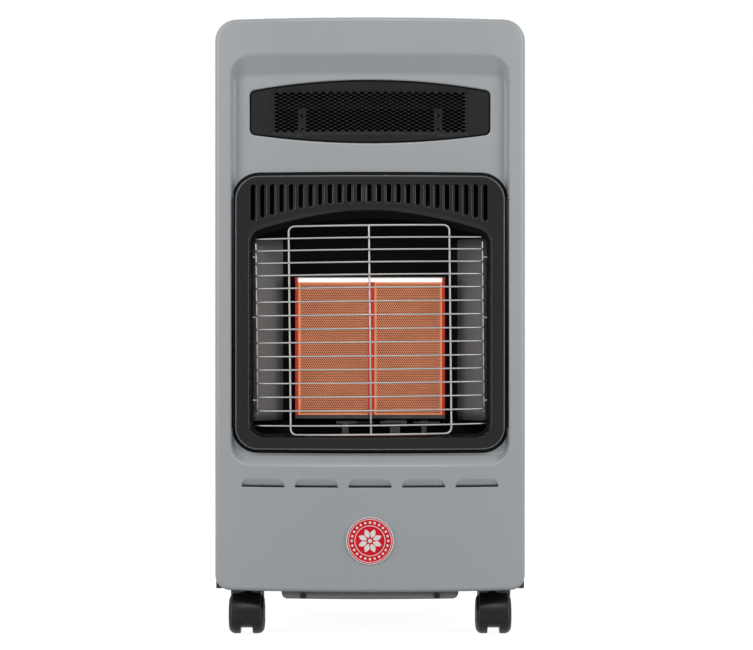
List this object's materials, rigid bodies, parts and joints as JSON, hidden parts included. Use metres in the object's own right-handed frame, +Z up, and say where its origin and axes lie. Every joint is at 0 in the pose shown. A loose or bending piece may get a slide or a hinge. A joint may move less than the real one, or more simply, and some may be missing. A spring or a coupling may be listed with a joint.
{
  "type": "portable propane cabinet heater",
  "caption": "Cabinet gas heater on casters: bowed steel front, glowing ceramic burner behind a wire guard, mesh outlet, louvred rear cover.",
  "frame": {"origin": "centre of the footprint at floor level", "axes": "+Z up, the front with the burner faces -Y, +X to the right seen from behind the front"},
  "size_m": [0.37, 0.42, 0.735],
  "materials": {
    "grey_paint": "semi-gloss",
    "black_paint": "satin",
    "black_enamel": "gloss",
    "mesh_black": "satin",
    "black_screw": "satin",
    "zinc_steel": "satin",
    "reflector_steel": "satin",
    "black_plastic": "fine grain",
    "badge_red": "gloss",
    "guard_chrome": "polished",
    "hot_ceramic": "matt, glowing",
    "white_fibre": "matt",
    "white_ceramic": "gloss",
    "brass": "satin",
    "copper": "satin",
    "button_red": "gloss",
    "caster_plastic": "semi-gloss",
    "axle_steel": "satin",
    "wheel_plastic": "semi-gloss"
  },
  "bodies": {
    "cabinet": {"front_panel": "grey_paint", "left_side_panel": "grey_paint", "right_side_panel": "grey_paint", "top_panel": "grey_paint", "rear_crosspiece": "black_paint", "base_tray": "black_paint", "kick_plate": "grey_paint", "kick_plate_screws": "black_screw", "case_screws": "zinc_steel", "left_grip": "black_plastic", "right_grip": "black_plastic", "badge": "badge_red", "fire_surround": "black_enamel", "wire_guard": "guard_chrome", "firebox": "black_paint", "left_reflector": "reflector_steel", "right_reflector": "reflector_steel", "burner_frame": "zinc_steel", "plaque_left": "hot_ceramic", "plaque_right": "hot_ceramic", "burner_gasket": "white_fibre", "burner_plenum": "zinc_steel", "pilot_bracket": "zinc_steel", "pilot_burner": "brass", "spark_electrode": "white_ceramic", "thermocouple": "zinc_steel", "outlet_grille": "mesh_black", "outlet_duct": "black_paint", "air_deflector": "zinc_steel", "gas_valve": "brass", "hose_nozzle": "brass", "manifold_pipe": "zinc_steel", "pilot_pipe": "copper", "injector": "brass", "venturi_tube": "zinc_steel", "control_tray": "black_plastic", "piezo_body": "black_plastic", "heat_shield": "zinc_steel", "caster_mounts": "zinc_steel"},
    "rear_cover": {"rear_cover": "grey_paint"},
    "spindle": {"valve_spindle": "zinc_steel"},
    "knob": {"control_knob": "black_plastic"},
    "igniter_button": {"piezo_button": "button_red"},
    "caster_fl": {"caster_fl_hood": "caster_plastic", "caster_fl_axle": "axle_steel"},
    "wheel_fl_l": {"caster_fl_wheel_l": "wheel_plastic"},
    "wheel_fl_r": {"caster_fl_wheel_r": "wheel_plastic"},
    "caster_fr": {"caster_fr_hood": "caster_plastic", "caster_fr_axle": "axle_steel"},
    "wheel_fr_l": {"caster_fr_wheel_l": "wheel_plastic"},
    "wheel_fr_r": {"caster_fr_wheel_r": "wheel_plastic"},
    "caster_rl": {"caster_rl_hood": "caster_plastic", "caster_rl_axle": "axle_steel"},
    "wheel_rl_l": {"caster_rl_wheel_l": "wheel_plastic"},
    "wheel_rl_r": {"caster_rl_wheel_r": "wheel_plastic"},
    "caster_rr": {"caster_rr_hood": "caster_plastic", "caster_rr_axle": "axle_steel"},
    "wheel_rr_l": {"caster_rr_wheel_l": "wheel_plastic"},
    "wheel_rr_r": {"caster_rr_wheel_r": "wheel_plastic"}
  },
  "joints": [
    {"name": "rear_cover_slide", "type": "slide", "parent": "cabinet", "child": "rear_cover", "axis": [0, 1, 0], "range_m": [0, 0.35]},
    {"name": "spindle_turn", "type": "hinge", "parent": "cabinet", "child": "spindle", "pos_m": [0.115, 0.1114, 0.72], "axis": [0, 0, 1], "range_deg": [-180, 0]},
    {"name": "knob_push", "type": "slide", "parent": "spindle", "child": "knob", "axis": [0, 0, -1], "range_m": [0, 0.004], "stiffness_N_per_m": 1200, "springref_m": -0.003},
    {"name": "igniter_push", "type": "slide", "parent": "cabinet", "child": "igniter_button", "axis": [0, 0, -1], "range_m": [0, 0.008], "stiffness_N_per_m": 700, "springref_m": -0.004},
    {"name": "caster_fl_swivel", "type": "hinge", "parent": "cabinet", "child": "caster_fl", "pos_m": [-0.148, -0.1356, 0.04], "axis": [0, 0, 1], "continuous": true},
    {"name": "wheel_fl_l_roll", "type": "hinge", "parent": "caster_fl", "child": "wheel_fl_l", "pos_m": [-0.162, -0.1516, 0.024], "axis": [1, 0, 0], "continuous": true},
    {"name": "wheel_fl_r_roll", "type": "hinge", "parent": "caster_fl", "child": "wheel_fl_r", "pos_m": [-0.134, -0.1516, 0.024], "axis": [1, 0, 0], "continuous": true},
    {"name": "caster_fr_swivel", "type": "hinge", "parent": "cabinet", "child": "caster_fr", "pos_m": [0.148, -0.1356, 0.04], "axis": [0, 0, 1], "continuous": true},
    {"name": "wheel_fr_l_roll", "type": "hinge", "parent": "caster_fr", "child": "wheel_fr_l", "pos_m": [0.134, -0.1516, 0.024], "axis": [1, 0, 0], "continuous": true},
    {"name": "wheel_fr_r_roll", "type": "hinge", "parent": "caster_fr", "child": "wheel_fr_r", "pos_m": [0.162, -0.1516, 0.024], "axis": [1, 0, 0], "continuous": true},
    {"name": "caster_rl_swivel", "type": "hinge", "parent": "cabinet", "child": "caster_rl", "pos_m": [-0.162, 0.1434, 0.04], "axis": [0, 0, 1], "continuous": true},
    {"name": "wheel_rl_l_roll", "type": "hinge", "parent": "caster_rl", "child": "wheel_rl_l", "pos_m": [-0.176, 0.1594, 0.024], "axis": [1, 0, 0], "continuous": true},
    {"name": "wheel_rl_r_roll", "type": "hinge", "parent": "caster_rl", "child": "wheel_rl_r", "pos_m": [-0.148, 0.1594, 0.024], "axis": [1, 0, 0], "continuous": true},
    {"name": "caster_rr_swivel", "type": "hinge", "parent": "cabinet", "child": "caster_rr", "pos_m": [0.162, 0.1434, 0.04], "axis": [0, 0, 1], "continuous": true},
    {"name": "wheel_rr_l_roll", "type": "hinge", "parent": "caster_rr", "child": "wheel_rr_l", "pos_m": [0.148, 0.1594, 0.024], "axis": [1, 0, 0], "continuous": true},
    {"name": "wheel_rr_r_roll", "type": "hinge", "parent": "caster_rr", "child": "wheel_rr_r", "pos_m": [0.176, 0.1594, 0.024], "axis": [1, 0, 0], "continuous": true}
  ]
}
